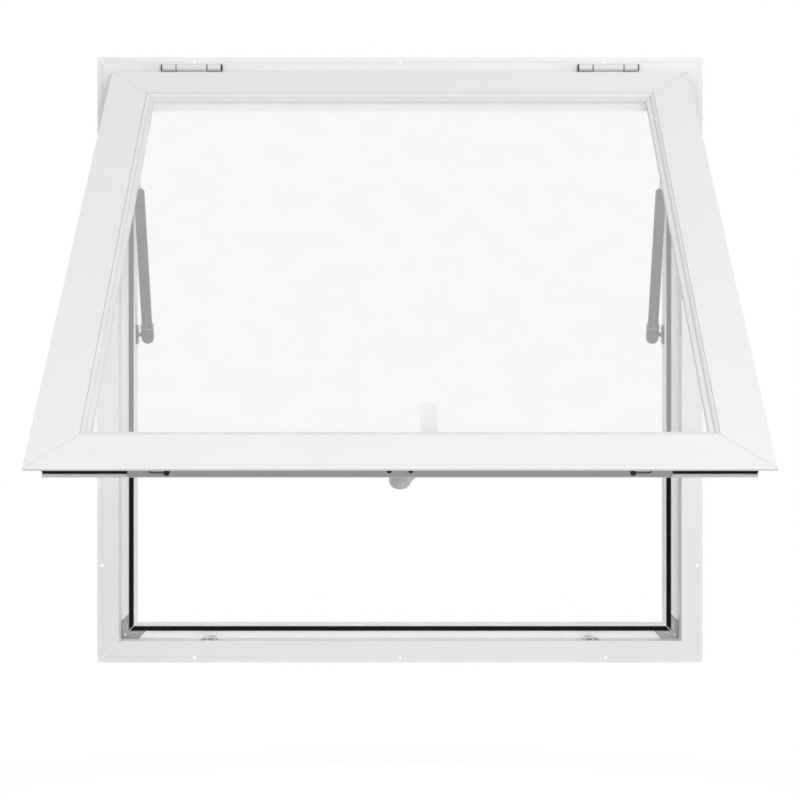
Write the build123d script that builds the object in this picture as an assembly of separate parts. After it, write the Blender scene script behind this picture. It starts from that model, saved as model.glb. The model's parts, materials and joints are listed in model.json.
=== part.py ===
"""Concession window: a flanged aluminium frame with a top-hung glazed sash, open on two gas struts.

X runs along the sill, +Y into the building and Z up. The origin is on the wall plane, the back face
of the flange, at the middle of the sill's lower edge. The sash is drawn shut and then swung open.
"""
import os
from math import atan2, cos, degrees, hypot, radians, sin

from build123d import *

# Overall sizes, mm
FRAME_W = 914.4
FRAME_H = 914.4
FRAME_DEPTH = 55.0
SASH_MARGIN = 24.2
SASH_TOP_MARGIN = 28.0
OPEN_ANGLE = 50.0

# Hairlines between mitred members, and a length that cuts through any of them
FRAME_MITRE_GAP = 0.5
SASH_MITRE_GAP = 0.2
CUT_THROUGH = 200.0

# Frame extrusion
FLANGE_T = 2.0
FLANGE_ROUND = 0.6
FLANGE_FACE = 31.8
FLANGE_COVER = 23.0
FRAME_WALL = 2.0
REBATE_FLOOR_Y = 26.5
REBATE_LEDGE = 11.9
SEAL_GROOVE_W = 6.8
SEAL_GROOVE_DEPTH = 4.0
STOP_LIP = 2.5
DRILL_LINE = 7.3
DRILL_GROOVE = 0.5
SCREW_HOLE_R = 2.5
SCREW_PITCH = 311.0

# Frame seal and corner plates
SEAL_RELIEF = 0.6
SEAL_SHOULDER = 0.8
SEAL_VALLEY = 0.7
CORNER_ARM = 38.0
CORNER_T = 1.5
CORNER_SLOT_L = 9.0
CORNER_SLOT_W = 5.0
CORNER_SQUARE = 4.5
CORNER_RECESS = 0.6

# Sash extrusion
SASH_SKIN = 3.0
SASH_LIP = 17.0
SASH_FACE = 58.0
SASH_DEPTH = 30.0
SASH_WALL = 2.0
GLAZING_LEG = 8.0
HARDWARE_GROOVE_W = 13.0
HARDWARE_GROOVE_DEPTH = 8.5
HARDWARE_GROOVE_N = 12.0
SASH_STANDOFF = 2.4
EDGE_ROUND = 0.6
GROOVE_SEAL_SET = 0.3
GROOVE_SEAL_CROWN = 0.8
GROOVE_SEAL_GAP = 0.5

# Glass and glazing beads
GLASS_T = 5.0
GLASS_SET = 8.0
GLASS_EDGE_GAP = 2.0
BEAD_W = 11.5
BEAD_GAP = 0.3
BEAD_DROP = 0.7
BEAD_WALL = 1.2
BEAD_TOE_T = 2.1
BEAD_TOE_ROUND = 0.6
BEAD_CHAMBER = 0.7

# Hinges
HINGE_CORNER = 143.2
HINGE_L = 88.0
HINGE_END_KNUCKLE = 20.0
HINGE_R = 5.7
HINGE_DROP = 16.3
HINGE_FLANGE_GAP = 0.3
HINGE_PIN_R = 2.5
HINGE_RUNNING = 0.05
HINGE_KNUCKLE_GAP = 1.5
HINGE_COLLAR_R = 4.9
HINGE_COLLAR_PLAY = 0.15
HINGE_LEAF_T = 2.0
HINGE_LEAF_L = 15.5
HINGE_SASH_LEAF_T = 1.6
HINGE_SASH_LEAF_L = 20.0
HINGE_CAP_R = 5.2
HINGE_CAP_T = 2.0

# Gas struts
STRUT_JAMB_GAP = 16.7
STRUT_FOOT_Y = 43.0
STRUT_FOOT_DROP = 404.1
STRUT_HEAD_DROP = 134.4
STRUT_HEAD_STANDOFF = 20.4
SOCKET_R = 9.6
SOCKET_L = 16.5
SOCKET_TAIL = 5.2
BALL_R = 5.0
BALL_PLAY = 0.05
STUD_R = 3.2
STUD_PLAY = 0.3
TUBE_R = 8.0
TUBE_BORE_R = 6.8
TUBE_TOP = 233.0
TUBE_TOP_ROUND = 3.0
GUIDE_L = 26.0
CRIMP_R = 0.7
ROD_R = 3.0
ROD_RUNNING = 0.05
PISTON_R = 6.6
PISTON_L = 8.0
FOOT_PLATE_H = 30.0
FOOT_PLATE_W = 18.0
FOOT_PLATE_T = 2.0
HEAD_BRACKET_T = 1.8
HEAD_BRACKET_L = 30.0
HEAD_BRACKET_REACH = 10.0
HEAD_STUD_REACH = 0.8
HEAD_STUD_GAP = 0.3
BRACKET_HOLE_R = 2.2
BRACKET_HOLE_PITCH = 20.0

# Handle
HANDLE_STOP_GAP = 5.7
HANDLE_BASE_L = 70.0
HANDLE_BASE_W = 28.0
HANDLE_BASE_T = 11.0
HANDLE_HUB_R = 13.0
HANDLE_HUB_GAP = 0.3
HANDLE_HUB_L = 28.0
HANDLE_SPINDLE_R = 6.0
HANDLE_SPINDLE_L = 6.0
HANDLE_OFFSET = 35.7
HANDLE_REACH = 128.0
HANDLE_GRIP_W = 20.0
HANDLE_GRIP_T = 12.0
HANDLE_GRIP_START = 42.0
HANDLE_ROUND = 3.0

# Espagnolette lock
LOCK_PLATE_L = 632.0
LOCK_PLATE_W = 19.0
LOCK_PLATE_T = 1.2
LOCK_TRAVEL = 18.0
LOCK_PIN_END = 46.0
LOCK_PIN_R = 3.5
LOCK_PIN_NECK_R = 2.4
LOCK_PIN_HEAD = 2.4
LOCK_PIN_CHAMFER = 0.8
LOCK_PIN_DROP = 5.2
LOCK_SLOT_PLAY = 0.6
LOCK_BAR_INNER_X = 24.0
LOCK_BAR_TAIL = 22.0
LOCK_BAR_PLAY = 0.4
LOCK_BAR_T = 6.0
LOCK_SCREW_X = 12.5
LOCK_SCREW_R = 2.0
KEEPER_PIN_GAP = 4.5
KEEPER_L = 24.0
KEEPER_HOOK_L = 15.0
KEEPER_RAMP = 2.0
KEEPER_H = 7.0
KEEPER_BASE_T = 1.2
KEEPER_BRIDGE_T = 1.8
KEEPER_FRONT_Y = 0.5
KEEPER_HOOK_T = 6.6
KEEPER_BASE_D = 20.0

# Places that follow from the sizes above
FLANGE_FRONT = -FLANGE_T
SASH_FRONT = FLANGE_FRONT - SASH_STANDOFF - SASH_SKIN
SASH_BACK = SASH_FRONT + SASH_DEPTH
SASH_W = FRAME_W - 2 * SASH_MARGIN
SASH_H = FRAME_H - SASH_MARGIN - SASH_TOP_MARGIN
HINGE_X = FRAME_W / 2 - HINGE_CORNER
HINGE_Y = FLANGE_FRONT - HINGE_FLANGE_GAP - HINGE_R
HINGE_Z = FRAME_H - HINGE_DROP
SEAL_START = FLANGE_FACE + REBATE_LEDGE
STOP_START = SEAL_START + SEAL_GROOVE_W
STOP_END = STOP_START + STOP_LIP
SEAL_FRONT = SASH_BACK + SEAL_RELIEF
GLASS_BACK = GLASS_SET + GLASS_T
GLASS_EDGE = SASH_FACE + GLASS_EDGE_GAP
STRUT_X = FRAME_W / 2 - STOP_END - STRUT_JAMB_GAP
STRUT_FOOT_Z = HINGE_Z - STRUT_FOOT_DROP
HANDLE_Z = STOP_END + HANDLE_STOP_GAP + HANDLE_BASE_W / 2
LOCK_N = HARDWARE_GROOVE_N + HARDWARE_GROOVE_W / 2
LOCK_PIN_X = LOCK_PLATE_L / 2 - LOCK_PIN_END

HINGE_AXIS = Axis((0, HINGE_Y, HINGE_Z), (1, 0, 0))


def polygon(*points):
    """A flat face from its corner points."""
    return make_face(Polyline(*points, close=True))


def slab(x0, x1, y0, y1, z0, z1):
    """A block between two corners."""
    low_to_mid = ((x0 + x1) / 2, (y0 + y1) / 2, (z0 + z1) / 2)
    return Pos(*low_to_mid) * Box(x1 - x0, y1 - y0, z1 - z0)


def rod_along_x(radius, x0, x1, y=0.0, z=0.0):
    """A round bar along X between two stations."""
    return Pos((x0 + x1) / 2, y, z) * Rot(0, 90, 0) * Cylinder(radius, abs(x1 - x0))


def member(profile, length, reach, gap):
    """An extrusion along X with 45 degree ends, its outer edge on Z = 0 and its inside towards +Z."""
    section = Plane(origin=(length / 2, 0, 0), x_dir=(0, 0, 1), z_dir=(-1, 0, 0)) * profile
    bar = extrude(section, amount=length)
    half = length / 2 - gap
    mitre = polygon((-half, 0), (half, 0), (half - reach, reach), (-half + reach, reach))
    return bar & extrude(Plane.XZ * mitre, amount=CUT_THROUGH, both=True)


def ring_places(width, height, low_z):
    """Where the sill, right, head and left members of a rectangle go, by name."""
    mid = low_z + height / 2
    return {
        "sill": Pos(0, 0, low_z),
        "right": Pos(width / 2, 0, mid) * Rot(0, -90, 0),
        "head": Pos(0, 0, low_z + height) * Rot(0, 180, 0),
        "left": Pos(-width / 2, 0, mid) * Rot(0, 90, 0),
    }


def ring(profile, width, height, low_z, reach, gap):
    """Four mitred members round a rectangle, by name."""
    lengths = {"sill": width, "head": width, "left": height, "right": height}
    places = ring_places(width, height, low_z)
    return {name: places[name] * member(profile, lengths[name], reach, gap) for name in places}


def mirrored(part):
    """The right-hand twin of a left-hand piece."""
    return mirror(part, about=Plane.YZ)


def swung_open(part):
    """A piece of the shut sash, turned to where the open sash holds it."""
    return part.rotate(HINGE_AXIS, -OPEN_ANGLE)


def frame_profile():
    """The frame's hollow section: u inward from the outer edge, then depth."""
    outline = polygon(
        (0, FLANGE_FRONT),
        (DRILL_LINE - DRILL_GROOVE, FLANGE_FRONT),
        (DRILL_LINE, FLANGE_FRONT + DRILL_GROOVE),
        (DRILL_LINE + DRILL_GROOVE, FLANGE_FRONT),
        (FLANGE_FACE, FLANGE_FRONT),
        (FLANGE_FACE, REBATE_FLOOR_Y),
        (SEAL_START, REBATE_FLOOR_Y),
        (SEAL_START, REBATE_FLOOR_Y + SEAL_GROOVE_DEPTH),
        (STOP_START, REBATE_FLOOR_Y + SEAL_GROOVE_DEPTH),
        (STOP_START, REBATE_FLOOR_Y),
        (STOP_END, REBATE_FLOOR_Y),
        (STOP_END, FRAME_DEPTH),
        (FLANGE_COVER, FRAME_DEPTH),
        (FLANGE_COVER, 0),
        (0, 0),
    )
    flange_edges = [(0, FLANGE_FRONT), (FLANGE_FACE, FLANGE_FRONT)]
    corners = [outline.vertices().sort_by_distance(edge)[0] for edge in flange_edges]
    outline = fillet(corners, FLANGE_ROUND)
    inner_back = FRAME_DEPTH - FRAME_WALL
    groove_back = REBATE_FLOOR_Y + SEAL_GROOVE_DEPTH + FRAME_WALL
    wall_chamber = polygon(
        (FLANGE_COVER + FRAME_WALL, 0),
        (FLANGE_FACE - FRAME_WALL, 0),
        (FLANGE_FACE - FRAME_WALL, inner_back),
        (FLANGE_COVER + FRAME_WALL, inner_back),
    )
    stop_chamber = polygon(
        (FLANGE_FACE, groove_back),
        (STOP_END - FRAME_WALL, groove_back),
        (STOP_END - FRAME_WALL, inner_back),
        (FLANGE_FACE, inner_back),
    )
    return outline - wall_chamber - stop_chamber


def frame_members():
    """Head, sill and jambs, each with its row of fixing holes through the flange."""
    places = ring_places(FRAME_W, FRAME_H, 0)
    bars = ring(frame_profile(), FRAME_W, FRAME_H, 0, STOP_END, FRAME_MITRE_GAP)
    drill = Rot(90, 0, 0) * Cylinder(SCREW_HOLE_R, CUT_THROUGH)
    for name, bar in bars.items():
        for step in (-1, 0, 1):
            bar = bar - places[name] * Pos(step * SCREW_PITCH, 0, DRILL_LINE) * drill
        bars[name] = bar
    return bars


def seal_profile():
    """The rubber seal: a foot that fills the groove and two rounded lobes in front of it."""
    foot_back = REBATE_FLOOR_Y + SEAL_GROOVE_DEPTH
    middle = (SEAL_START + STOP_START) / 2
    shoulder = SEAL_FRONT + SEAL_SHOULDER
    valley = (middle, SEAL_FRONT + SEAL_VALLEY)
    foot = Polyline(
        (SEAL_START, shoulder), (SEAL_START, foot_back), (STOP_START, foot_back), (STOP_START, shoulder)
    )
    inner_crown = ((STOP_START + middle) / 2, SEAL_FRONT)
    outer_crown = ((SEAL_START + middle) / 2, SEAL_FRONT)
    inner_lobe = ThreePointArc((STOP_START, shoulder), inner_crown, valley)
    outer_lobe = ThreePointArc(valley, outer_crown, (SEAL_START, shoulder))
    return make_face(Curve() + [*foot.edges(), inner_lobe, outer_lobe])


def corner_plates():
    """A zinc corner plate in each corner of the rebate, its arms cut back at 45 degrees."""
    low, high = FLANGE_FACE, SEAL_START
    tip = low + CORNER_ARM
    cut = tip - REBATE_LEDGE
    outline = polygon((low, low), (cut, low), (tip, high), (high, high), (high, tip), (low, cut))
    middle = (low + high) / 2
    along = (high + cut) / 2
    slot = SlotOverall(CORNER_SLOT_L, CORNER_SLOT_W)
    square = Rectangle(CORNER_SQUARE, CORNER_SQUARE)
    outline -= Pos(middle, middle) * Rot(0, 0, 45) * square
    slots = Pos(along, middle) * slot + Pos(middle, along) * Rot(0, 0, 90) * slot
    plate = Pos(0, REBATE_FLOOR_Y, 0) * extrude(Plane.XZ * outline, amount=CORNER_T)
    plate -= Pos(0, REBATE_FLOOR_Y - CORNER_T, 0) * extrude(Plane.XZ * slots, amount=-CORNER_RECESS)
    low_left = Pos(-FRAME_W / 2, 0, 0) * plate
    high_left = mirror(low_left, about=Plane.XY.offset(FRAME_H / 2))
    return [low_left, high_left, mirrored(low_left), mirrored(high_left)]


def sash_profile():
    """The sash's hollow section: w inward from the outer edge, then depth from the front face."""
    leg_edge = SASH_FACE + GLAZING_LEG
    groove_end = HARDWARE_GROOVE_N + HARDWARE_GROOVE_W
    groove_floor = SASH_LIP + HARDWARE_GROOVE_DEPTH
    outline = polygon(
        (0, 0),
        (SASH_FACE, 0),
        (SASH_FACE, GLASS_BACK),
        (leg_edge, GLASS_BACK),
        (leg_edge, SASH_DEPTH),
        (SASH_LIP, SASH_DEPTH),
        (SASH_LIP, groove_end),
        (groove_floor, groove_end),
        (groove_floor, HARDWARE_GROOVE_N),
        (SASH_LIP, HARDWARE_GROOVE_N),
        (SASH_LIP, SASH_SKIN),
        (0, SASH_SKIN),
    )
    outer_corner = outline.vertices().sort_by_distance((0, 0))[0]
    outline = fillet(outer_corner, EDGE_ROUND)
    inner_back = SASH_DEPTH - SASH_WALL
    main_chamber = polygon(
        (groove_floor + SASH_WALL, SASH_WALL),
        (SASH_FACE - SASH_WALL, SASH_WALL),
        (SASH_FACE - SASH_WALL, inner_back),
        (groove_floor + SASH_WALL, inner_back),
    )
    leg_chamber = polygon(
        (SASH_FACE, GLASS_BACK + SASH_WALL),
        (leg_edge - SASH_WALL, GLASS_BACK + SASH_WALL),
        (leg_edge - SASH_WALL, inner_back),
        (SASH_FACE, inner_back),
    )
    lip_chamber = polygon(
        (SASH_LIP + SASH_WALL, SASH_WALL),
        (groove_floor, SASH_WALL),
        (groove_floor, HARDWARE_GROOVE_N - SASH_WALL),
        (SASH_LIP + SASH_WALL, HARDWARE_GROOVE_N - SASH_WALL),
    )
    return Pos(0, SASH_FRONT) * (outline - main_chamber - leg_chamber - lip_chamber)


def sash_ring(profile, reach):
    """Four mitred members of the sash, drawn shut, by name."""
    return ring(profile, SASH_W, SASH_H, SASH_MARGIN, reach, SASH_MITRE_GAP)


def groove_seal():
    """The rubber strip in the sash's hardware groove, left out where the lock fills the bottom rail's."""
    low, high = HARDWARE_GROOVE_N, HARDWARE_GROOVE_N + HARDWARE_GROOVE_W
    face, floor = SASH_LIP + GROOVE_SEAL_SET, SASH_LIP + HARDWARE_GROOVE_DEPTH
    edge = face + GROOVE_SEAL_CROWN
    foot = Polyline((edge, low), (floor, low), (floor, high), (edge, high))
    crown = ThreePointArc((edge, high), (face, (low + high) / 2), (edge, low))
    profile = Pos(0, SASH_FRONT) * make_face(Curve() + [*foot.edges(), crown])
    strips = sash_ring(profile, floor)
    lock_room = Box(LOCK_PLATE_L + 2 * GROOVE_SEAL_GAP, CUT_THROUGH, CUT_THROUGH)
    strips["sill"] = strips["sill"] - lock_room
    return list(strips.values())


def bead_profile():
    """The snap-in glazing bead: a hollow quarter round from the sash's face, then a flat toe on the glass."""
    low, edge = SASH_FACE + BEAD_GAP, SASH_FACE + BEAD_W
    toe = GLASS_SET - BEAD_TOE_T
    crown_r = toe - BEAD_DROP
    half_turn = crown_r * sin(radians(45))
    crown = ThreePointArc((low, BEAD_DROP), (low + half_turn, toe - half_turn), (low + crown_r, toe))
    corner = BEAD_TOE_ROUND * (1 - sin(radians(45)))
    tip_start, tip_end = (edge - BEAD_TOE_ROUND, toe), (edge, toe + BEAD_TOE_ROUND)
    tip = ThreePointArc(tip_start, (edge - corner, toe + corner), tip_end)
    walls = Polyline(tip @ 1, (edge, GLASS_SET), (low, GLASS_SET), (low, BEAD_DROP))
    outline = make_face(Curve() + [crown, Line(crown @ 1, tip @ 0), tip, *walls.edges()])
    reach = BEAD_CHAMBER * (crown_r - BEAD_WALL)
    chamber = polygon(
        (low + BEAD_WALL, toe - reach),
        (low + reach, toe - reach),
        (low + reach, GLASS_SET - BEAD_WALL),
        (low + BEAD_WALL, GLASS_SET - BEAD_WALL),
    )
    return Pos(0, SASH_FRONT) * (outline - chamber)


def glass_pane():
    """The glass, set back from the face and held between the beads and the glazing legs."""
    half_w = SASH_W / 2 - GLASS_EDGE
    low = SASH_MARGIN + GLASS_EDGE
    high = FRAME_H - SASH_TOP_MARGIN - GLASS_EDGE
    front = SASH_FRONT + GLASS_SET
    return slab(-half_w, half_w, front, front + GLASS_T, low, high)


def hinge_stations():
    """Where the left hinge's knuckles start and end along X."""
    start = -HINGE_X - HINGE_L / 2
    end = -HINGE_X + HINGE_L / 2
    first = start + HINGE_END_KNUCKLE
    last = end - HINGE_END_KNUCKLE
    return start, first, last, end


def knuckle(x0, x1, leaf_y0, leaf_y1, leaf_l, bore):
    """One barrel knuckle of a hinge with the leaf that hangs from it."""
    barrel = rod_along_x(HINGE_R, x0, x1, HINGE_Y, HINGE_Z)
    leaf = slab(x0, x1, leaf_y0, leaf_y1, HINGE_Z - leaf_l, HINGE_Z)
    return barrel + leaf - rod_along_x(bore, x0 - 1, x1 + 1, HINGE_Y, HINGE_Z)


def hinge_frame_leaf():
    """The two end knuckles, each on its own leaf on the frame's flange."""
    start, first, last, end = hinge_stations()
    leaf_front = FLANGE_FRONT - HINGE_LEAF_T
    bore = HINGE_PIN_R + HINGE_RUNNING
    outer = knuckle(start, first, leaf_front, FLANGE_FRONT, HINGE_LEAF_L, bore)
    inner = knuckle(last, end, leaf_front, FLANGE_FRONT, HINGE_LEAF_L, bore)
    return [outer, inner]


def hinge_sash_leaf():
    """The middle knuckle, on a leaf behind the sash's lip."""
    _, first, last, _ = hinge_stations()
    lip_back = SASH_FRONT + SASH_SKIN
    bore = HINGE_PIN_R + HINGE_RUNNING
    x0, x1 = first + HINGE_KNUCKLE_GAP, last - HINGE_KNUCKLE_GAP
    return knuckle(x0, x1, lip_back, lip_back + HINGE_SASH_LEAF_T, HINGE_SASH_LEAF_L, bore)


def hinge_pin():
    """The pin through all three knuckles, with a collar in each gap and a cap at each end."""
    start, first, last, end = hinge_stations()
    pin = rod_along_x(HINGE_PIN_R, start, end, HINGE_Y, HINGE_Z)
    for low, high in ((start - HINGE_CAP_T, start), (end, end + HINGE_CAP_T)):
        pin += rod_along_x(HINGE_CAP_R, low, high, HINGE_Y, HINGE_Z)
    for low, high in ((first, first + HINGE_KNUCKLE_GAP), (last - HINGE_KNUCKLE_GAP, last)):
        collar = (low + HINGE_COLLAR_PLAY, high - HINGE_COLLAR_PLAY)
        pin += rod_along_x(HINGE_COLLAR_R, *collar, HINGE_Y, HINGE_Z)
    return pin


def strut_head_shut():
    """The ball at the sash end of a strut, with the sash shut: Y and Z."""
    return SASH_BACK + STRUT_HEAD_STANDOFF, HINGE_Z - STRUT_HEAD_DROP


def strut_head_open():
    """The same ball with the sash open as drawn."""
    y, z = strut_head_shut()
    y, z = y - HINGE_Y, z - HINGE_Z
    turn = radians(OPEN_ANGLE)
    return HINGE_Y + y * cos(turn) + z * sin(turn), HINGE_Z - y * sin(turn) + z * cos(turn)


def strut_line(head):
    """Length and outward lean, in degrees, of a strut from its foot to a head."""
    dy, dz = head[0] - STRUT_FOOT_Y, head[1] - STRUT_FOOT_Z
    return hypot(dy, dz), degrees(atan2(-dy, dz))


STRUT_OPEN_L, STRUT_OPEN_LEAN = strut_line(strut_head_open())
STRUT_SHUT_L, STRUT_SHUT_LEAN = strut_line(strut_head_shut())
STRUT_STROKE = STRUT_OPEN_L - STRUT_SHUT_L
STRUT_SWING = STRUT_OPEN_LEAN - STRUT_SHUT_LEAN


def along_strut(part):
    """A piece drawn up the Z axis from the foot's ball, laid along the open left strut."""
    return Pos(-STRUT_X, STRUT_FOOT_Y, STRUT_FOOT_Z) * Rot(STRUT_OPEN_LEAN, 0, 0) * part


def ball_socket(tail, flip):
    """A strut's end fitting: a domed cup on the ball, with a stem that screws on the strut."""
    barrel = Cylinder(SOCKET_R, SOCKET_L + tail)
    cup = Pos(0, 0, -tail) * Sphere(SOCKET_R) + Pos(0, 0, (SOCKET_L - tail) / 2) * barrel
    cup = cup - Sphere(BALL_R + BALL_PLAY)
    mouth = rod_along_x(STUD_R + STUD_PLAY, -2 * SOCKET_R, 0)
    upright = cup - mouth
    return Rot(0, 180, 0) * upright if flip else upright


def foot_bracket():
    """The plate on the jamb with the ball stud that carries the strut's foot."""
    face_x = -FRAME_W / 2 + STOP_END
    plate_face = Plane.YZ * (Rectangle(FOOT_PLATE_W, FOOT_PLATE_H))
    plate = extrude(plate_face, amount=FOOT_PLATE_T)
    plate = fillet(plate.edges().filter_by(Axis.X), FOOT_PLATE_W / 3)
    for side in (-1, 1):
        plate -= Pos(0, 0, side * BRACKET_HOLE_PITCH / 2) * rod_along_x(BRACKET_HOLE_R, -1, FOOT_PLATE_T + 1)
    plate = Pos(face_x, STRUT_FOOT_Y, STRUT_FOOT_Z) * plate
    neck = rod_along_x(STUD_R, face_x + FOOT_PLATE_T, -STRUT_X, STRUT_FOOT_Y, STRUT_FOOT_Z)
    return plate + neck + Pos(-STRUT_X, STRUT_FOOT_Y, STRUT_FOOT_Z) * Sphere(BALL_R)


def strut_tube():
    """The gas cylinder: a hollow tube with a rounded, crimped top that guides the rod."""
    shoulder = (TUBE_R, TUBE_TOP - TUBE_TOP_ROUND)
    rim = (TUBE_R - TUBE_TOP_ROUND, TUBE_TOP)
    walls = Polyline((0, SOCKET_L), (TUBE_R, SOCKET_L), shoulder)
    crown = RadiusArc(shoulder, rim, -TUBE_TOP_ROUND)
    guide_r = ROD_R + ROD_RUNNING
    bore = Polyline(
        rim,
        (guide_r, TUBE_TOP),
        (guide_r, TUBE_TOP - GUIDE_L),
        (TUBE_BORE_R, TUBE_TOP - GUIDE_L),
        (TUBE_BORE_R, SOCKET_L + (TUBE_R - TUBE_BORE_R)),
        (0, SOCKET_L + (TUBE_R - TUBE_BORE_R)),
        (0, SOCKET_L),
    )
    section = make_face(Curve() + [*walls.edges(), crown, *bore.edges()])
    tube = revolve(Plane.XZ * section, axis=Axis.Z)
    crimp = Pos(0, 0, TUBE_TOP - GUIDE_L) * Torus(TUBE_R, CRIMP_R)
    return tube - crimp


def strut_rod():
    """The polished rod with its piston inside the tube."""
    top = STRUT_OPEN_L - SOCKET_L
    piston_top = TUBE_TOP - GUIDE_L - PISTON_L / 2
    rod = Pos(0, 0, (piston_top + top) / 2) * Cylinder(ROD_R, top - piston_top)
    return rod + Pos(0, 0, piston_top - PISTON_L / 2) * Cylinder(PISTON_R, PISTON_L)


def head_stud():
    """The ball and stud at the strut's head, whose foot stands against the sash bracket."""
    face_x = SOCKET_R + HEAD_STUD_REACH
    return Sphere(BALL_R) + rod_along_x(STUD_R, 0, face_x)


def head_bracket():
    """The angle bracket on the back of the stile, drawn shut, whose upright takes the strut's head."""
    y, z = strut_head_shut()
    inner = -STRUT_X + SOCKET_R + HEAD_STUD_REACH + HEAD_STUD_GAP
    outer = inner + HEAD_BRACKET_T
    half = HEAD_BRACKET_L / 2
    reach = y + HEAD_BRACKET_REACH
    upright = slab(inner, outer, SASH_BACK, reach, z - half, z + half)
    upright = fillet(upright.edges().filter_by(Axis.X).group_by(Axis.Y)[-1], HEAD_BRACKET_L / 3)
    base_x = -STRUT_X - SOCKET_R
    base = slab(base_x, outer, SASH_BACK, SASH_BACK + HEAD_BRACKET_T, z - half, z + half)
    for side in (-1, 1):
        place = Pos((base_x + inner) / 2, SASH_BACK, z + side * BRACKET_HOLE_PITCH / 2)
        base -= place * Rot(90, 0, 0) * Cylinder(BRACKET_HOLE_R, 4 * HEAD_BRACKET_T)
    return upright + base


def handle_base():
    """The rosette on the bottom rail, with the bore that the spindle turns in."""
    outline = Plane.XZ * SlotOverall(HANDLE_BASE_L, HANDLE_BASE_W)
    base = extrude(outline, amount=-HANDLE_BASE_T)
    base = fillet(base.faces().sort_by(Axis.Y)[-1].edges(), HANDLE_ROUND)
    bore_depth = HANDLE_SPINDLE_L + HANDLE_HUB_GAP
    bore = Pos(0, HANDLE_BASE_T - bore_depth / 2, 0) * Rot(90, 0, 0)
    base -= bore * Cylinder(HANDLE_SPINDLE_R + HINGE_RUNNING, bore_depth)
    return Pos(0, SASH_BACK, HANDLE_Z) * base


def handle_lever():
    """The cranked lever: hub, neck set over to the right and a grip that points up the sash."""
    start = HANDLE_BASE_T + HANDLE_HUB_GAP
    hub = extrude(Plane.XZ * Circle(HANDLE_HUB_R), amount=-HANDLE_HUB_L)
    spindle = extrude(Plane.XZ * Circle(HANDLE_SPINDLE_R), amount=HANDLE_SPINDLE_L)
    half = HANDLE_GRIP_W / 2
    grip_back = HANDLE_HUB_L - HANDLE_GRIP_T
    neck = make_hull((Circle(half) + Pos(HANDLE_OFFSET, HANDLE_GRIP_START) * Circle(half)).edges())
    grip_middle = (HANDLE_GRIP_START + HANDLE_REACH - half) / 2
    grip_length = HANDLE_REACH - half - HANDLE_GRIP_START
    grip = Pos(HANDLE_OFFSET, grip_middle) * Rectangle(HANDLE_GRIP_W, grip_length)
    grip += Pos(HANDLE_OFFSET, HANDLE_REACH - half) * Circle(half)
    blade = extrude(Plane.XZ * (neck + grip), amount=-HANDLE_GRIP_T)
    blade = fillet(blade.faces().sort_by(Axis.Y)[-1].edges(), HANDLE_ROUND)
    hub = fillet(hub.faces().sort_by(Axis.Y)[-1].edges(), HANDLE_ROUND)
    lever = hub + spindle + Pos(0, grip_back, 0) * blade
    return Pos(0, SASH_BACK + start, HANDLE_Z) * lever


def lock_faceplate():
    """The lock's cover strip under the bottom rail, slotted for the two pins."""
    bottom = SASH_MARGIN + SASH_LIP - LOCK_PLATE_T
    outline = Rectangle(LOCK_PLATE_L, LOCK_PLATE_W)
    slot_w = 2 * (LOCK_PIN_R + LOCK_SLOT_PLAY)
    slot_l = slot_w + LOCK_TRAVEL
    for side in (-1, 1):
        outline -= Pos(side * (LOCK_PIN_X + LOCK_TRAVEL / 2), 0) * SlotOverall(slot_l, slot_w)
        outline -= Pos(side * LOCK_SCREW_X, 0) * Circle(LOCK_SCREW_R)
    return Pos(0, SASH_FRONT + LOCK_N, bottom) * extrude(outline, amount=LOCK_PLATE_T)


def lock_bar():
    """The left sliding bar in the hardware groove."""
    half_w = HARDWARE_GROOVE_W / 2 - LOCK_BAR_PLAY
    low = SASH_MARGIN + SASH_LIP + LOCK_BAR_PLAY
    middle = SASH_FRONT + LOCK_N
    outer = -LOCK_PIN_X - LOCK_BAR_TAIL
    return slab(outer, -LOCK_BAR_INNER_X, middle - half_w, middle + half_w, low, low + LOCK_BAR_T)


def lock_pin():
    """The left locking pin: a mushroom-headed stud that stands down from the bar through the faceplate."""
    top = SASH_MARGIN + SASH_LIP + LOCK_BAR_PLAY
    bottom = SASH_MARGIN + SASH_LIP - LOCK_PLATE_T - LOCK_PIN_DROP
    length = top - bottom
    head = polygon(
        (0, 0),
        (LOCK_PIN_R - LOCK_PIN_CHAMFER, 0),
        (LOCK_PIN_R, LOCK_PIN_CHAMFER),
        (LOCK_PIN_R, LOCK_PIN_HEAD - LOCK_PIN_CHAMFER),
        (LOCK_PIN_NECK_R, LOCK_PIN_HEAD),
        (LOCK_PIN_NECK_R, length),
        (0, length),
    )
    pin = revolve(Plane.XZ * head, axis=Axis.Z)
    return Pos(-LOCK_PIN_X, SASH_FRONT + LOCK_N, bottom) * pin


def keeper():
    """The left keeper on the sill: a base plate with a domed bridge that the locked pin runs behind."""
    inner = -LOCK_PIN_X - LOCK_PIN_R - KEEPER_PIN_GAP
    outer = inner - KEEPER_L
    seat = FLANGE_FACE
    top = seat + KEEPER_H
    base = slab(outer, inner, KEEPER_FRONT_Y, KEEPER_FRONT_Y + KEEPER_BASE_D, seat, seat + KEEPER_BASE_T)
    hook_outer = inner - KEEPER_HOOK_L

    def dome(wall):
        low, high = seat + KEEPER_BASE_T / 2, top - wall
        left, right = hook_outer + wall, inner - wall
        face = polygon((left, low), (right, low), (right - KEEPER_RAMP, high), (left, high))
        return fillet(face.vertices().group_by(Axis.Y)[-1], KEEPER_H / 2 - wall)

    bridge = dome(0) - dome(KEEPER_BRIDGE_T)
    bridge = Pos(0, KEEPER_FRONT_Y, 0) * extrude(Plane.XZ * bridge, amount=-KEEPER_HOOK_T)
    return base + bridge


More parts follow.
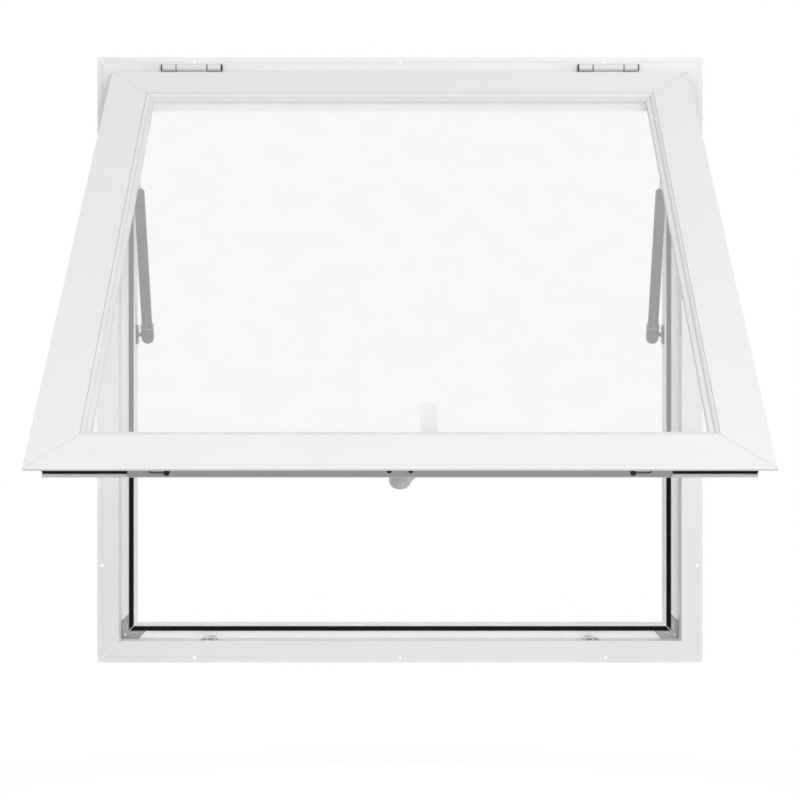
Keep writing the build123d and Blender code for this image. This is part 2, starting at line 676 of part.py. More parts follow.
def solids(shape):
    """Every solid of a shape, or of a list of shapes, in one compound."""
    shapes = shape if isinstance(shape, list) else [shape]
    found = [solid for piece in shapes for solid in piece.solids()]
    return found[0] if len(found) == 1 else Compound(children=found)


def all_nodes():
    """Every named piece of the window, in its place with the sash open."""
    nodes = {}
    names = {"sill": "sill", "head": "head", "left": "left_jamb", "right": "right_jamb"}
    for side, bar in frame_members().items():
        nodes["frame_" + names[side]] = bar
    seals = ring(seal_profile(), FRAME_W, FRAME_H, 0, STOP_END, FRAME_MITRE_GAP)
    nodes["frame_seal"] = list(seals.values())
    nodes["frame_corner_plates"] = corner_plates()

    sash_names = {"sill": "bottom_rail", "head": "top_rail", "left": "left_stile", "right": "right_stile"}
    for side, bar in sash_ring(sash_profile(), SASH_FACE + GLAZING_LEG).items():
        nodes["sash_" + sash_names[side]] = swung_open(bar)
    bead_names = {"sill": "bottom", "head": "top", "left": "left", "right": "right"}
    for side, bar in sash_ring(bead_profile(), SASH_FACE + BEAD_W).items():
        nodes["glazing_bead_" + bead_names[side]] = swung_open(bar)
    nodes["sash_groove_seal"] = [swung_open(strip) for strip in groove_seal()]
    nodes["glass_pane"] = swung_open(glass_pane())

    nodes["handle_base"] = swung_open(handle_base())
    nodes["handle_lever"] = swung_open(handle_lever())
    nodes["lock_faceplate"] = swung_open(lock_faceplate())

    left_pieces = {
        "hinge_frame_leaf": hinge_frame_leaf(),
        "hinge_pin": hinge_pin(),
        "hinge_sash_leaf": swung_open(hinge_sash_leaf()),
        "strut_foot_bracket": foot_bracket(),
        "strut_foot_socket": along_strut(ball_socket(SOCKET_TAIL, False)),
        "strut_tube": along_strut(strut_tube()),
        "strut_rod": along_strut(strut_rod()),
        "strut_head_socket": along_strut(Pos(0, 0, STRUT_OPEN_L) * ball_socket(0, True)),
        "strut_head_stud": along_strut(Pos(0, 0, STRUT_OPEN_L) * head_stud()),
        "strut_head_bracket": swung_open(head_bracket()),
        "lock_bar": swung_open(lock_bar()),
        "lock_pin": swung_open(lock_pin()),
        "lock_keeper": keeper(),
    }
    for name, piece in left_pieces.items():
        nodes["left_" + name] = piece
        twin = [mirrored(one) for one in piece] if isinstance(piece, list) else mirrored(piece)
        nodes["right_" + name] = twin
    return nodes


os.makedirs("parts", exist_ok=True)
for node, shape in all_nodes().items():
    export_step(solids(shape), os.path.join("parts", node + ".step"))
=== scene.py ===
"""Looks of a concession window: powder-coated frame and sash, glass, gas struts, hinges and lock."""
import json
import math

import bpy
from mathutils import Matrix, Vector


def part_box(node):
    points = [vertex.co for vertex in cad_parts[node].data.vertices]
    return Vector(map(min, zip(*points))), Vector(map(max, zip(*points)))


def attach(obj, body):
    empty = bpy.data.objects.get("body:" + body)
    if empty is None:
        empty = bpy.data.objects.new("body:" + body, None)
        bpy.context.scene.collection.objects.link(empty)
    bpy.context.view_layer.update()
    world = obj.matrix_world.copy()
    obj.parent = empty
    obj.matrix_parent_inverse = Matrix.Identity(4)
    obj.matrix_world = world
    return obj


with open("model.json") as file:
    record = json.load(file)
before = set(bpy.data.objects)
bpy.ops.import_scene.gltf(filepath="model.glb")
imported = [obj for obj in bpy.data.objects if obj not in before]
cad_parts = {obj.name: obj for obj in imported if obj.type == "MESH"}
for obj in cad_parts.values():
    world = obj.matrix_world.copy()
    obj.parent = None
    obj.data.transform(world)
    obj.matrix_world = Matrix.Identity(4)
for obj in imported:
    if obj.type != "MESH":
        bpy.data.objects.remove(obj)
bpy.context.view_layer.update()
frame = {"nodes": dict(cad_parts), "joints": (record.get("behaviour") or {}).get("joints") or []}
NODES = frame["nodes"]
JOINTS = {joint["name"]: joint for joint in frame["joints"]}
MM = 0.001
SIDES = ("left", "right")
INWARD = {"left": 1, "right": -1}

# The photograph's view: places in its 800 pixels, then the camera's distance in metres
IMAGE_PX = 800
FRAME_PX = 605.0
FRAME_MIDDLE_PX = 360.0
HORIZON_PX = 350.0
CAMERA_DISTANCE = 2.785
SENSOR = 36.0
FRAME_W = 2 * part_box("frame_right_jamb")[1].x
FRAME_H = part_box("frame_left_jamb")[1].z
FLANGE_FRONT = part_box("frame_sill")[0].y

# Directions of the open sash: out of its face, up its stiles and along its rails
OUT = Vector(JOINTS["handle_turn"]["axis"])
ALONG = Vector((1, 0, 0))
UP = OUT.cross(ALONG)

# Sizes of the hardware that small pieces sit on
BRACKET_HOLE_PITCH = 20.0 * MM
FOOT_PLATE_T = 2.0 * MM
HEAD_PLATE_T = 1.8 * MM
HEAD_BALL_STANDOFF = 20.4 * MM
TUBE_MOUTH = 233.0 * MM
SOCKET_R = 9.6 * MM
ROD_R = 3.0 * MM
HANDLE_BASE_T = 11.0 * MM
HANDLE_SCREW_X = 26.0 * MM
LOCK_PLATE_T = 1.2 * MM
LOCK_SCREW_X = 12.5 * MM
KEEPER_BASE_T = 1.2 * MM
KEEPER_SCREW_BACK = 4.5 * MM
KEEPER_SCREW_IN = 5.0 * MM
CORNER_SLOT = (9.0 * MM, 5.0 * MM)
CORNER_SQUARE = 4.5 * MM
CORNER_NEAR = 5.95 * MM
CORNER_FAR = 19.0 * MM

# Small pieces: each screw head's radius and height, its crown and cross recess as shares of these,
# then the rims of the holes, the wipers and the wire clips
BRACKET_SCREW = (3.6 * MM, 2.2 * MM)
HANDLE_SCREW = (3.2 * MM, 1.6 * MM)
STRIP_SCREW = (3.0 * MM, 1.2 * MM)
KEEPER_SCREW = (3.0 * MM, 0.7 * MM)
HEAD_SIDES = 32
CROWN_SHARE = 0.8
CROWN_STEPS = 5
RECESS_LENGTH_SHARE = 1.15
RECESS_WIDTH_SHARE = 0.3
RECESS_DEPTH_SHARE = 0.6
RECESS_TAPER = 0.55
SCREW_TWIST_DEG = 37
RIM_WALL = 1.1 * MM
RIM_HEIGHT = 0.5 * MM
RIM_EDGE = 0.15 * MM
RIM_ROUND_SIDES = 24
RIM_SQUARE_SIDES = 4
RING_STEPS = 40
RING_EDGE_STEPS = 3
WIPER_INNER = ROD_R + 0.1 * MM
WIPER_OUTER = ROD_R + 1.9 * MM
WIPER_T = 1.6 * MM
WIPER_EDGE = 0.5 * MM
CLIP_INNER = SOCKET_R - 0.2 * MM
CLIP_OUTER = SOCKET_R + 0.7 * MM
CLIP_T = 0.9 * MM
CLIP_EDGE = 0.35 * MM
CLIP_UP = 12.0 * MM
TINY = 0.001 * MM

# Coats: how far out of a corner the painted shade reaches, and how much darker the thin film is
PAINTED_SHADE_REACH = 2.0 * MM
THIN_FILM = 0.98

# Numbers of the colour sockets on a Mix node, whose names repeat for each kind of value
MIX_A, MIX_B, MIX_RESULT = 6, 7, 2

# Studio: each lamp's place, size and power, the place they face, then the sky and the floor
LAMPS = {
    "overhead": ((0.4, -2.0, 3.2), 2.0, 11.0),
    "wide_front": ((0.0, -4.2, 0.6), 3.0, 53.0),
    "front": ((0.9, -3.0, 1.1), 1.0, 10.0),
    "far_right": ((4.0, -1.2, 0.4), 2.0, 35.0),
    "far_left": ((-4.0, -1.2, 0.4), 2.0, 5.0),
    "back": ((0.0, 3.4, 0.3), 1.2, 50.0),
}
LAMP_TARGET_Y = -0.2
SKY = 0.57
FLOOR_Z = -0.9
FLOOR_SIZE = 12.0
FLOOR_SHADE_R = 1.4
FLOOR_WHITE_R = 3.6
FLOOR_GLOW = 0.3


def linear(code):
    """An sRGB hex colour as linear red, green, blue and alpha."""
    channels = [int(code[i:i + 2], 16) / 255 for i in (1, 3, 5)]
    return tuple(c / 12.92 if c <= 0.04045 else ((c + 0.055) / 1.055) ** 2.4 for c in channels) + (1.0,)


def add(tree, kind, links=None, settings=None, stops=(), **values):
    """Adds a node: settings are its properties, values go on its sockets, links join other sockets to its
    own by name or number, and stops are the places and colours of a ramp."""
    made = tree.nodes.new(kind)
    for name, value in (settings or {}).items():
        setattr(made, name, value)
    for name, value in values.items():
        made.inputs[name.replace("_", " ")].default_value = value
    for name, source in (links or {}).items():
        tree.links.new(source, made.inputs[name])
    for count, (place, colour) in enumerate(stops):
        made.color_ramp.elements[count].position = place
        made.color_ramp.elements[count].color = colour
    return made


def new_material(name):
    """An empty node material: the material, its tree and its output node."""
    material = bpy.data.materials.new(name)
    material.use_nodes = True
    tree = material.node_tree
    tree.nodes.clear()
    return material, tree, tree.nodes.new("ShaderNodeOutputMaterial")


def per_metre(millimetres):
    """The texture scale whose features are about this size."""
    return 1 / (millimetres * MM)


def powder_coat(name, colour, roughness):
    # Polyester powder, sprayed and baked on aluminium: satin white with a fine orange peel that softens
    # every highlight, a faint cloudiness where the film is thicker, and painted shade that greys tight
    # corners
    material, tree, out = new_material(name)
    place = add(tree, "ShaderNodeTexCoord").outputs["Object"]
    peel = add(tree, "ShaderNodeTexNoise", {"Vector": place}, Scale=per_metre(1.6), Detail=2.0).outputs["Fac"]
    cloud = add(tree, "ShaderNodeTexNoise", {"Vector": place}, Scale=per_metre(140), Detail=3.0)
    thin = tuple(c * THIN_FILM for c in linear(colour)[:3]) + (1.0,)
    film = add(tree, "ShaderNodeValToRGB", {"Fac": cloud.outputs["Fac"]},
               stops=((0.35, thin), (0.65, linear(colour))))
    # Painted shade: ambient occlusion greys the coat's colour in corners, creases and joints, where shade
    # falls
    corner_shade_ao = add(tree, "ShaderNodeAmbientOcclusion", settings={"samples": 6}, Distance=PAINTED_SHADE_REACH)
    dust_and_painted_shade = add(tree, "ShaderNodeValToRGB", {"Fac": corner_shade_ao.outputs["AO"]},
               stops=((0.2, linear("#6E6E70")), (0.6, linear("#FFFFFF"))))
    shaded_film = add(tree, "ShaderNodeMix", {MIX_A: film.outputs["Color"], MIX_B: dust_and_painted_shade.outputs["Color"]},
                {"data_type": "RGBA", "blend_type": "MULTIPLY"}, Factor=1.0)
    bump = add(tree, "ShaderNodeBump", {"Height": peel}, Strength=0.05, Distance=0.2 * MM)
    dull = add(tree, "ShaderNodeMapRange", {"Value": peel}, To_Min=roughness - 0.04, To_Max=roughness + 0.04)
    links = {"Base Color": shaded_film.outputs[MIX_RESULT], "Normal": bump.outputs["Normal"],
             "Roughness": dull.outputs["Result"]}
    skin = add(tree, "ShaderNodeBsdfPrincipled", links, IOR=1.5)
    tree.links.new(skin.outputs["BSDF"], out.inputs["Surface"])
    return material


def float_glass():
    # Clear tempered float glass: a bright skin lays the pale room over what is behind it, with the slow
    # roller wave of the toughening oven and a faint dusty film that takes a little light here and there
    material, tree, out = new_material("tempered_float_glass")
    place = add(tree, "ShaderNodeTexCoord").outputs["Object"]
    wave = add(tree, "ShaderNodeTexNoise", {"Vector": place}, Scale=per_metre(220), Detail=1.0).outputs["Fac"]
    film = add(tree, "ShaderNodeTexNoise", {"Vector": place}, Scale=per_metre(45), Detail=5.0).outputs["Fac"]
    dust_and_painted_shade = add(tree, "ShaderNodeValToRGB", {"Fac": film},
               stops=((0.35, linear("#F7F7F7")), (0.65, linear("#F5F5F5"))))
    bump = add(tree, "ShaderNodeBump", {"Height": wave}, Strength=0.03, Distance=0.1 * MM)
    links = {"Base Color": dust_and_painted_shade.outputs["Color"], "Coat Normal": bump.outputs["Normal"]}
    sheet = add(tree, "ShaderNodeBsdfPrincipled", links, Roughness=0.0, IOR=1.5, Transmission_Weight=1.0,
                Coat_Weight=1.0, Coat_Roughness=0.0, Coat_IOR=2.1)
    tree.links.new(sheet.outputs["BSDF"], out.inputs["Surface"])
    return material


def seal_rubber():
    # EPDM rubber, extruded: black and matt, with a fine dry grain
    material, tree, out = new_material("epdm_rubber")
    place = add(tree, "ShaderNodeTexCoord").outputs["Object"]
    grain = add(tree, "ShaderNodeTexNoise", {"Vector": place}, Scale=per_metre(0.8), Detail=3.0)
    bump = add(tree, "ShaderNodeBump", {"Height": grain.outputs["Fac"]}, Strength=0.25, Distance=0.1 * MM)
    dull = add(tree, "ShaderNodeMapRange", {"Value": grain.outputs["Fac"]}, To_Min=0.55, To_Max=0.75)
    links = {"Normal": bump.outputs["Normal"], "Roughness": dull.outputs["Result"]}
    skin = add(tree, "ShaderNodeBsdfPrincipled", links, Base_Color=linear("#0F0F0F"), IOR=1.52,
               Specular_IOR_Level=0.1)
    tree.links.new(skin.outputs["BSDF"], out.inputs["Surface"])
    return material


def black_nylon():
    # Glass-filled nylon, moulded: black, with a fine spark-eroded stipple that scatters the light
    material, tree, out = new_material("glass_filled_nylon")
    place = add(tree, "ShaderNodeTexCoord").outputs["Object"]
    stipple = add(tree, "ShaderNodeTexVoronoi", {"Vector": place}, Scale=per_metre(0.7)).outputs["Distance"]
    bump = add(tree, "ShaderNodeBump", {"Height": stipple}, Strength=0.2, Distance=0.1 * MM)
    dull = add(tree, "ShaderNodeMapRange", {"Value": stipple}, To_Min=0.42, To_Max=0.58)
    links = {"Normal": bump.outputs["Normal"], "Roughness": dull.outputs["Result"]}
    skin = add(tree, "ShaderNodeBsdfPrincipled", links, Base_Color=linear("#1A1A1B"), IOR=1.53)
    tree.links.new(skin.outputs["BSDF"], out.inputs["Surface"])
    return material


def black_enamel():
    # Stoved enamel on a drawn steel tube: black, satin, with a faint ripple that wavers its long highlight
    material, tree, out = new_material("stoved_enamel")
    place = add(tree, "ShaderNodeTexCoord").outputs["Object"]
    ripple = add(tree, "ShaderNodeTexNoise", {"Vector": place}, Scale=per_metre(3.0), Detail=2.0)
    bump = add(tree, "ShaderNodeBump", {"Height": ripple.outputs["Fac"]}, Strength=0.05, Distance=0.1 * MM)
    dull = add(tree, "ShaderNodeMapRange", {"Value": ripple.outputs["Fac"]}, To_Min=0.26, To_Max=0.36)
    links = {"Normal": bump.outputs["Normal"], "Roughness": dull.outputs["Result"]}
    skin = add(tree, "ShaderNodeBsdfPrincipled", links, Base_Color=linear("#151516"), IOR=1.5)
    tree.links.new(skin.outputs["BSDF"], out.inputs["Surface"])
    return material


def plated_steel(name, colour, roughness, patch):
    # Steel, zinc or chrome plated: a bright metal whose grain takes the light in small uneven patches
    material, tree, out = new_material(name)
    place = add(tree, "ShaderNodeTexCoord").outputs["Object"]
    grain = add(tree, "ShaderNodeTexVoronoi", {"Vector": place}, Scale=per_metre(patch)).outputs["Color"]
    scratch = add(tree, "ShaderNodeTexNoise", {"Vector": place}, Scale=per_metre(0.6), Detail=4.0)
    bump = add(tree, "ShaderNodeBump", {"Height": scratch.outputs["Fac"]}, Strength=0.08, Distance=0.1 * MM)
    dull = add(tree, "ShaderNodeMapRange", {"Value": grain}, To_Min=roughness - 0.05, To_Max=roughness + 0.07)
    links = {"Normal": bump.outputs["Normal"], "Roughness": dull.outputs["Result"]}
    skin = add(tree, "ShaderNodeBsdfPrincipled", links, Base_Color=linear(colour), Metallic=1.0)
    tree.links.new(skin.outputs["BSDF"], out.inputs["Surface"])
    return material


FRAME_COAT = powder_coat("powder_coat_frame", "#EFEFF1", 0.42)
SASH_COAT = powder_coat("powder_coat_sash", "#EFEFF1", 0.40)
BEAD_COAT = powder_coat("powder_coat_bead", "#E8E8EA", 0.38)
HINGE_COAT = powder_coat("powder_coat_hinge", "#E1E1E3", 0.36)
# The handle's coat is set greyer than the frame's as painted shade, for its hub that faces down out of the
# light
HANDLE_COAT = powder_coat("powder_coat_handle", "#D8D8DA", 0.30)
GLASS = float_glass()
RUBBER = seal_rubber()
NYLON = black_nylon()
ENAMEL = black_enamel()
ZINC = plated_steel("bright_zinc_plate", "#A6A7A8", 0.38, 2.5)
CAST_ZINC = plated_steel("die_cast_zinc", "#8E8F91", 0.5, 1.5)
STRIP_STEEL = plated_steel("lock_strip_zinc", "#9A9A9C", 0.42, 6.0)
BLACK_ZINC = plated_steel("black_zinc_plate", "#2E2E2F", 0.42, 2.0)
BLACK_OXIDE = plated_steel("black_oxide", "#0C0C0C", 0.5, 2.0)
CHROME = plated_steel("hard_chrome", "#C9CACC", 0.16, 4.0)


def wear(piece, material):
    """Gives a piece its one finish."""
    piece.data.materials.clear()
    piece.data.materials.append(material)


def both(*names):
    """The left and right nodes of these names."""
    return [side + "_" + name for side in SIDES for name in names]


def dress_nodes():
    """Every CAD node's finish."""
    finishes = {
        FRAME_COAT: ["frame_head", "frame_sill", "frame_left_jamb", "frame_right_jamb"],
        SASH_COAT: ["sash_top_rail", "sash_bottom_rail", "sash_left_stile", "sash_right_stile"],
        BEAD_COAT: ["glazing_bead_" + edge for edge in ("top", "bottom", "left", "right")],
        GLASS: ["glass_pane"],
        RUBBER: ["frame_seal", "sash_groove_seal"],
        CAST_ZINC: ["frame_corner_plates"],
        ZINC: both("lock_keeper"),
        HINGE_COAT: both("hinge_frame_leaf", "hinge_sash_leaf"),
        HANDLE_COAT: ["handle_base", "handle_lever"],
        NYLON: both("hinge_pin", "strut_foot_socket", "strut_head_socket"),
        ENAMEL: both("strut_tube"),
        CHROME: both("strut_rod"),
        # The lock pins are black as painted shade, dark like the shadow that falls under them
        BLACK_ZINC: both("strut_foot_bracket", "strut_head_bracket", "strut_head_stud", "lock_pin"),
        STRIP_STEEL: ["lock_faceplate"] + both("lock_bar"),
    }
    for material, names in finishes.items():
        for name in names:
            wear(NODES[name], material)
    # Lamp light goes through the pane to what is behind it
    NODES["glass_pane"].visible_shadow = False


def clear_selection():
    """Leaves nothing selected, so that the next operator acts on its own piece alone."""
    bpy.ops.object.select_all(action="DESELECT")


def pick_faces(piece, test):
    """Goes into edit mode with only the faces selected whose centre and normal pass a test."""
    bpy.ops.object.mode_set(mode="EDIT")
    bpy.ops.mesh.select_mode(type="FACE")
    bpy.ops.mesh.select_all(action="DESELECT")
    bpy.ops.object.mode_set(mode="OBJECT")
    for face in piece.data.polygons:
        face.select = test(face.center, face.normal)
    bpy.ops.object.mode_set(mode="EDIT")


def settle(piece, smooth_angle):
    """Leaves edit mode, puts a piece's place into its mesh and smooths it up to an angle."""
    bpy.ops.object.mode_set(mode="OBJECT")
    clear_selection()
    piece.select_set(True)
    bpy.context.view_layer.objects.active = piece
    bpy.ops.object.transform_apply(location=True, rotation=True, scale=True)
    bpy.ops.object.shade_smooth_by_angle(angle=math.radians(smooth_angle))


def use_modifier(piece, kind, **settings):
    """Adds a modifier with its settings and applies it."""
    modifier = piece.modifiers.new(kind.lower(), kind)
    for name, value in settings.items():
        setattr(modifier, name, value)
    clear_selection()
    piece.select_set(True)
    bpy.context.view_layer.objects.active = piece
    bpy.ops.object.modifier_apply(modifier=modifier.name)


def cross_cutter(length, width, depth, top):
    """The driver bit's tip: two tapered blades crossed at right angles."""
    blades = []
    for turn in (0.0, 90.0):
        clear_selection()
        bpy.ops.mesh.primitive_cube_add(size=1, location=(0, 0, top))
        blade = bpy.context.object
        blade.scale = (length, width, 2 * depth)
        blade.rotation_euler.z = math.radians(turn)
        pick_faces(blade, lambda centre, normal: normal.z < -0.5)
        bpy.ops.transform.resize(value=(RECESS_TAPER, RECESS_TAPER, 1.0))
        settle(blade, 1)
        blades.append(blade)
    use_modifier(blades[0], "BOOLEAN", operation="UNION", object=blades[1], solver="EXACT")
    bpy.data.objects.remove(blades[1])
    return blades[0]


def pan_head(radius, height):
    """One pan-head screw with a cross recess, its seat on the origin and its crown towards +Z."""
    clear_selection()
    bpy.ops.mesh.primitive_cylinder_add(vertices=HEAD_SIDES, radius=radius, depth=height,
                                        location=(0, 0, height / 2))
    head = bpy.context.object
    pick_faces(head, lambda centre, normal: normal.z > 0.9)
    bpy.ops.mesh.bevel(offset=CROWN_SHARE * height, segments=CROWN_STEPS, profile=0.5, affect="EDGES")
    settle(head, 40)
    length, width = RECESS_LENGTH_SHARE * radius, RECESS_WIDTH_SHARE * radius
    cutter = cross_cutter(length, width, RECESS_DEPTH_SHARE * height, height)
    use_modifier(head, "BOOLEAN", operation="DIFFERENCE", object=cutter, solver="EXACT")
    bpy.data.objects.remove(cutter)
    settle(head, 35)
    return head


def rounded_ring(inner, outer, thick, edge):
    """A ring round the Z axis on the origin, spun from a small section with rounded corners."""
    clear_selection()
    bpy.ops.mesh.primitive_plane_add(size=1)
    ring = bpy.context.object
    ring.rotation_euler.x = math.radians(90)
    ring.scale = (outer - inner, thick, 1)
    ring.location = ((outer + inner) / 2, 0, thick / 2)
    settle(ring, 1)
    bpy.ops.object.mode_set(mode="EDIT")
    bpy.ops.mesh.select_all(action="SELECT")
    bpy.ops.mesh.bevel(offset=edge, segments=RING_EDGE_STEPS, affect="VERTICES")
    bpy.ops.mesh.select_all(action="SELECT")
    bpy.ops.mesh.delete(type="ONLY_FACE")
    bpy.ops.mesh.select_all(action="SELECT")
    bpy.ops.mesh.spin(steps=RING_STEPS, angle=2 * math.pi, center=(0, 0, 0), axis=(0, 0, 1))
    bpy.ops.mesh.select_all(action="SELECT")
    bpy.ops.mesh.remove_doubles(threshold=TINY)
    bpy.ops.mesh.normals_make_consistent(inside=False)
    settle(ring, 40)
    return ring


def hole_rim(length, width, corner_sides):
    """A raised rim round a long or square hole, on the origin and standing towards +Z."""
    clear_selection()
    bpy.ops.mesh.primitive_circle_add(vertices=corner_sides, radius=width / 2 + RIM_WALL, fill_type="NGON")
    rim = bpy.context.object
    stretch = (length - width) / 2
    if stretch:
        for sign in (1, -1):
            bpy.ops.object.mode_set(mode="EDIT")
            bpy.ops.mesh.select_mode(type="VERT")
            bpy.ops.mesh.select_all(action="DESELECT")
            bpy.ops.object.mode_set(mode="OBJECT")
            for vertex in rim.data.vertices:
                vertex.select = sign * vertex.co.x > TINY
            bpy.ops.object.mode_set(mode="EDIT")
            bpy.ops.transform.translate(value=(sign * stretch, 0, 0))
            bpy.ops.object.mode_set(mode="OBJECT")
    pick_faces(rim, lambda centre, normal: True)
    bpy.ops.mesh.inset(thickness=RIM_WALL)
    bpy.ops.mesh.delete(type="FACE")
    settle(rim, 1)
    use_modifier(rim, "SOLIDIFY", thickness=RIM_HEIGHT, offset=1.0)
    use_modifier(rim, "BEVEL", width=RIM_EDGE, segments=2, limit_method="ANGLE")
    settle(rim, 30)
    return rim


def set_out(name, master, places, body, material):
    """Copies a modelled piece to its places, each facing outward, joins them and lets them ride a body."""
    copies = []
    for count, (point, outward) in enumerate(places):
        copy = master.copy()
        copy.data = master.data.copy()
        bpy.context.scene.collection.objects.link(copy)
        facing = Vector((0, 0, 1)).rotation_difference(outward).to_matrix().to_4x4()
        # Each driven screw comes to rest with its recess at another angle
        turn = math.radians(SCREW_TWIST_DEG * count) if "screw" in name else 0.0
        copy.matrix_world = Matrix.Translation(point) @ facing @ Matrix.Rotation(turn, 4, "Z")
        copies.append(copy)
    bpy.data.objects.remove(master)
    clear_selection()
    for copy in copies:
        copy.select_set(True)
    piece = copies[0]
    bpy.context.view_layer.objects.active = piece
    if len(copies) > 1:
        bpy.ops.object.join()
    bpy.ops.object.transform_apply(location=True, rotation=True, scale=True)
    piece.name = name
    piece.data.name = name
    wear(piece, material)
    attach(piece, body)


def middle(node):
    """The middle of a node's box."""
    low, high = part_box(node)
    return (low + high) / 2


def strut_up(side):
    """The direction up a strut, from its foot to its head."""
    return -Vector(JOINTS[side + "_strut_slide"]["axis"])


def foot_ball(side):
    """The ball at the foot of a strut."""
    return Vector(JOINTS[side + "_strut_lean"]["pos_m"])


def head_ball(side):
    """The ball at the head of a strut."""
    ball = middle(side + "_strut_head_stud")
    return Vector((foot_ball(side).x, ball.y, ball.z))


def foot_screws():
    """Where the foot brackets' screws go: on the plates, facing into the opening."""
    places = []
    for side, inward in INWARD.items():
        low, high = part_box(side + "_strut_foot_bracket")
        seat_x = (low.x if inward > 0 else high.x) + inward * FOOT_PLATE_T
        for step in (-0.5, 0.5):
            point = Vector((seat_x, foot_ball(side).y, foot_ball(side).z + step * BRACKET_HOLE_PITCH))
            places.append((point, Vector((inward, 0, 0))))
    return places


def head_screws():
    """Where the head brackets' screws go: on their base plates, behind the stiles."""
    places = []
    for side, inward in INWARD.items():
        low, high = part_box(side + "_strut_head_bracket")
        seat = head_ball(side) + OUT * (HEAD_BALL_STANDOFF - HEAD_PLATE_T)
        seat.x = (low.x + high.x - inward * HEAD_PLATE_T) / 2
        places += [(seat + UP * step * BRACKET_HOLE_PITCH, -OUT) for step in (-0.5, 0.5)]
    return places


def corner_holes():
    """The corner plates' holes, by kind, as places on the plates that face outside."""
    low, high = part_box("frame_corner_plates")
    holes = {"flat_slot": [], "upright_slot": [], "square": []}
    offsets = {
        "flat_slot": (CORNER_FAR, CORNER_NEAR),
        "upright_slot": (CORNER_NEAR, CORNER_FAR),
        "square": (CORNER_NEAR, CORNER_NEAR),
    }
    for kind, (along, up) in offsets.items():
        for x in (low.x + along, high.x - along):
            for z in (low.z + up, high.z - up):
                holes[kind].append((Vector((x, low.y, z)), Vector((0, -1, 0))))
    return holes


def add_screws():
    """Cross-head screws on the strut brackets, the handle, the lock strip and the keepers."""
    set_out("strut_foot_screws", pan_head(*BRACKET_SCREW), foot_screws(), "frame", ZINC)
    set_out("strut_head_screws", pan_head(*BRACKET_SCREW), head_screws(), "sash", ZINC)
    base = middle("handle_base") - OUT * HANDLE_BASE_T / 2
    handle_places = [(base + ALONG * sign * HANDLE_SCREW_X, -OUT) for sign in (-1, 1)]
    set_out("handle_screws", pan_head(*HANDLE_SCREW), handle_places, "sash", ZINC)
    strip = middle("lock_faceplate") - UP * LOCK_PLATE_T / 2
    strip_places = [(strip + ALONG * sign * LOCK_SCREW_X, -UP) for sign in (-1, 1)]
    # The lock strip's screws are black as painted shade, dark like the shade inside its screw holes
    set_out("lock_strip_screws", pan_head(*STRIP_SCREW), strip_places, "sash", BLACK_OXIDE)
    keeper_places = []
    for side in SIDES:
        low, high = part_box(side + "_lock_keeper")
        seat_x = low.x + KEEPER_SCREW_IN if side == "left" else high.x - KEEPER_SCREW_IN
        seat = Vector((seat_x, high.y - KEEPER_SCREW_BACK, low.z + KEEPER_BASE_T))
        keeper_places.append((seat, Vector((0, 0, 1))))
    set_out("keeper_screws", pan_head(*KEEPER_SCREW), keeper_places, "frame", ZINC)


def add_corner_rims():
    """Pressed rims round the holes of the corner plates."""
    long_side, short_side = CORNER_SLOT
    holes = corner_holes()
    flat = hole_rim(long_side, short_side, RIM_ROUND_SIDES)
    set_out("corner_plate_flat_rims", flat, holes["flat_slot"], "frame", ZINC)
    upright = hole_rim(long_side, short_side, RIM_ROUND_SIDES)
    upright.rotation_euler.z = math.radians(90)
    settle(upright, 30)
    set_out("corner_plate_upright_rims", upright, holes["upright_slot"], "frame", ZINC)
    square = hole_rim(CORNER_SQUARE, CORNER_SQUARE, RIM_SQUARE_SIDES)
    set_out("corner_plate_square_rims", square, holes["square"], "frame", ZINC)


def add_strut_trim():
    """The wiper at each tube's mouth and the spring clip round each ball socket."""
    for side in SIDES:
        up = strut_up(side)
        cylinder, piston = side + "_strut_cylinder", side + "_strut_piston"
        mouth = foot_ball(side) + up * TUBE_MOUTH
        wiper = rounded_ring(WIPER_INNER, WIPER_OUTER, WIPER_T, WIPER_EDGE)
        set_out(side + "_strut_wiper", wiper, [(mouth, up)], cylinder, NYLON)
        ends = (("foot", foot_ball(side), up, cylinder), ("head", head_ball(side), -up, piston))
        for end, ball, turn, body in ends:
            clip = rounded_ring(CLIP_INNER, CLIP_OUTER, CLIP_T, CLIP_EDGE)
            seat = ball + turn * CLIP_UP
            set_out(side + "_" + end + "_socket_clip", clip, [(seat, turn)], body, CHROME)


def add_camera():
    """A level camera square to the wall, shifted as the photograph is framed."""
    px_per_metre = FRAME_PX / FRAME_W
    data = bpy.data.cameras.new("photo_camera")
    data.sensor_width = SENSOR
    data.lens = px_per_metre * CAMERA_DISTANCE / IMAGE_PX * SENSOR
    data.shift_y = (HORIZON_PX - IMAGE_PX / 2) / IMAGE_PX
    camera = bpy.data.objects.new("photo_camera", data)
    bpy.context.scene.collection.objects.link(camera)
    height = FRAME_H / 2 + (FRAME_MIDDLE_PX - HORIZON_PX) / px_per_metre
    camera.location = (0, FLANGE_FRONT - CAMERA_DISTANCE, height)
    camera.rotation_euler = (math.radians(90), 0, 0)
    bpy.context.scene.camera = camera


def add_lamp(name, place, size, watts):
    """A soft square lamp that faces the window and isn't seen through its glass."""
    data = bpy.data.lights.new(name, "AREA")
    data.size = size
    data.energy = watts
    # The pane lets lamp light through, so only direct sampling keeps it even behind the glass
    data.cycles.use_multiple_importance_sampling = False
    lamp = bpy.data.objects.new(name, data)
    bpy.context.scene.collection.objects.link(lamp)
    lamp.visible_transmission = False
    # A lamp behind the window lights its back without a glare along the faces inside the opening
    lamp.visible_glossy = place[1] < 0
    lamp.location = place
    target = Vector((0, LAMP_TARGET_Y, FRAME_H / 2))
    lamp.rotation_euler = (target - Vector(place)).to_track_quat("-Z", "Y").to_euler()


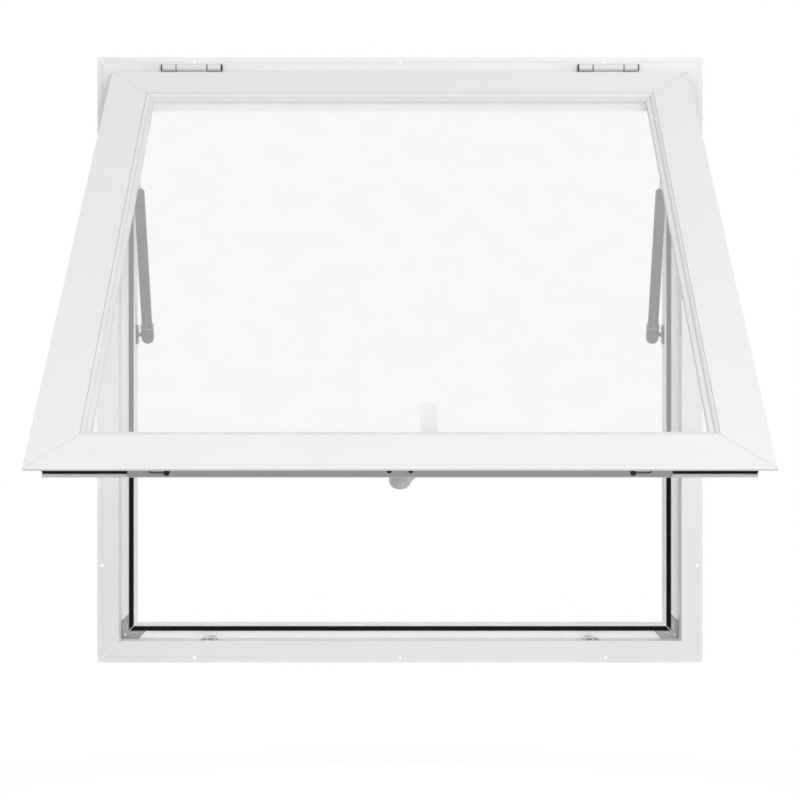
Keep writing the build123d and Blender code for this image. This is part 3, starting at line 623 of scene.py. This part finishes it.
def sees_backdrop(tree):
    """One for rays that look at the backdrop: from the camera, in a reflection or through glass."""
    path = add(tree, "ShaderNodeLightPath").outputs
    either = {"operation": "MAXIMUM"}
    direct = add(tree, "ShaderNodeMath", {0: path["Is Camera Ray"], 1: path["Is Glossy Ray"]}, either)
    through = add(tree, "ShaderNodeMath", {0: direct.outputs[0], 1: path["Is Transmission Ray"]}, either)
    return through.outputs[0]


def add_world():
    """A white backdrop, and a dimmer white sky that lights the window."""
    world = bpy.data.worlds.new("studio")
    bpy.context.scene.world = world
    world.use_nodes = True
    tree = world.node_tree
    tree.nodes.clear()
    sky = add(tree, "ShaderNodeBackground", Color=linear("#FFFFFF"), Strength=SKY).outputs[0]
    backdrop = add(tree, "ShaderNodeBackground", Color=linear("#FFFFFF"), Strength=1.0).outputs[0]
    both_skies = add(tree, "ShaderNodeMixShader", {"Fac": sees_backdrop(tree), 1: sky, 2: backdrop})
    add(tree, "ShaderNodeOutputWorld", {"Surface": both_skies.outputs[0]})


def floor_paint():
    # Pale matt paint that keeps the window's soft shadow near it and fades to the white backdrop further off,
    # with a dimmer bounce onto the undersides
    material, tree, out = new_material("studio_floor_paint")
    place = add(tree, "ShaderNodeTexCoord").outputs["Object"]
    away = add(tree, "ShaderNodeVectorMath", {"Vector": place}, {"operation": "LENGTH"}).outputs["Value"]
    far = add(tree, "ShaderNodeMapRange", {"Value": away}, From_Min=FLOOR_SHADE_R, From_Max=FLOOR_WHITE_R)
    paint = add(tree, "ShaderNodeBsdfDiffuse", Color=linear("#E0E0E0")).outputs[0]
    bounce = add(tree, "ShaderNodeBsdfDiffuse", Color=linear("#8A8A8A")).outputs[0]
    glow = add(tree, "ShaderNodeEmission", Color=linear("#FFFFFF"), Strength=FLOOR_GLOW).outputs[0]
    white = add(tree, "ShaderNodeEmission", Color=linear("#FFFFFF"), Strength=1.0).outputs[0]
    near = add(tree, "ShaderNodeAddShader", {0: paint, 1: glow}).outputs[0]
    seen = add(tree, "ShaderNodeMixShader", {"Fac": far.outputs["Result"], 1: near, 2: white}).outputs[0]
    floor = add(tree, "ShaderNodeMixShader", {"Fac": sees_backdrop(tree), 1: bounce, 2: seen})
    tree.links.new(floor.outputs[0], out.inputs["Surface"])
    return material


def add_studio():
    """White surroundings, soft lamps and a pale floor below the window."""
    add_world()
    for name, (place, size, watts) in LAMPS.items():
        add_lamp(name, place, size, watts)
    clear_selection()
    bpy.ops.mesh.primitive_plane_add(size=FLOOR_SIZE, location=(0, 0, FLOOR_Z))
    floor = bpy.context.object
    floor.name = "studio_floor"
    wear(floor, floor_paint())


clear_selection()
add_camera()
dress_nodes()
add_screws()
add_corner_rims()
add_strut_trim()
add_studio()
bpy.context.scene.view_settings.view_transform = "Standard"
